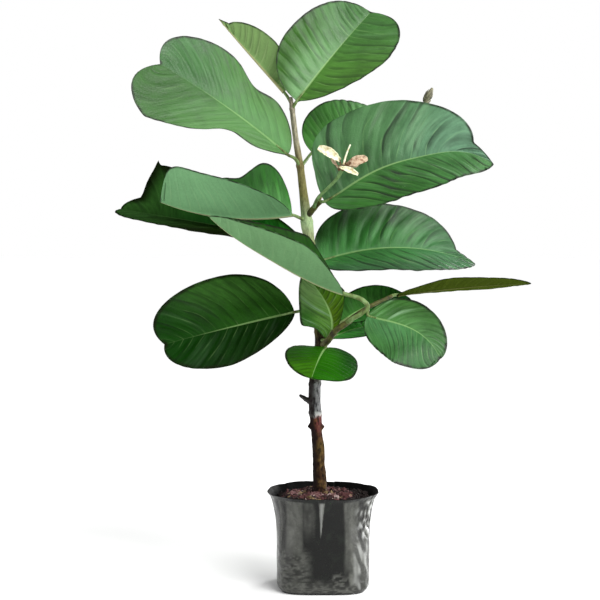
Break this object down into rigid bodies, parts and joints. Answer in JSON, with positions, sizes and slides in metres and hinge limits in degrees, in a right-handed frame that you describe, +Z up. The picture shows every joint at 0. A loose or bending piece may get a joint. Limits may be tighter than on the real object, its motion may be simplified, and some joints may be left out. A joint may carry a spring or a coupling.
{
  "type": "guava sapling in a grow bag",
  "caption": "Young guava tree with a slender leaning stem and large folded leaves in pairs, standing in a round black nursery grow bag filled with soil.",
  "frame": {"origin": "centre of the grow bag's flat underside, on the surface that the bag stands on", "axes": "+Z up along the stem, +X to the right and +Y away from the side that shows the dried flower"},
  "size_m": [0.3762, 0.1722, 0.5318],
  "materials": {
    "bag": "thin glossy black film with soft creases",
    "soil": "coarse reddish-brown crumbs, matte",
    "bark": "smooth brown bark below, olive green above",
    "shoot": "smooth olive-brown young shoot",
    "leaf": "satin green above with sunken side veins, paler and matte below",
    "flower": "dry cream lobes",
    "bud": "matte brown-green"
  },
  "bodies": {
    "root": {"grow_bag": "bag", "soil": "soil", "trunk": "bark", "side_shoot_upper": "shoot", "side_shoot_lower": "shoot", "bud_shoot": "bud", "flower": "flower", "leaf_01": "leaf", "leaf_02": "leaf", "leaf_03": "leaf", "leaf_04": "leaf", "leaf_05": "leaf", "leaf_06": "leaf", "leaf_07": "leaf", "leaf_08": "leaf", "leaf_09": "leaf", "leaf_10": "leaf", "leaf_11": "leaf", "leaf_12": "leaf", "leaf_13": "leaf", "leaf_14": "leaf", "leaf_15": "leaf", "leaf_16": "leaf"}
  },
  "joints": []
}
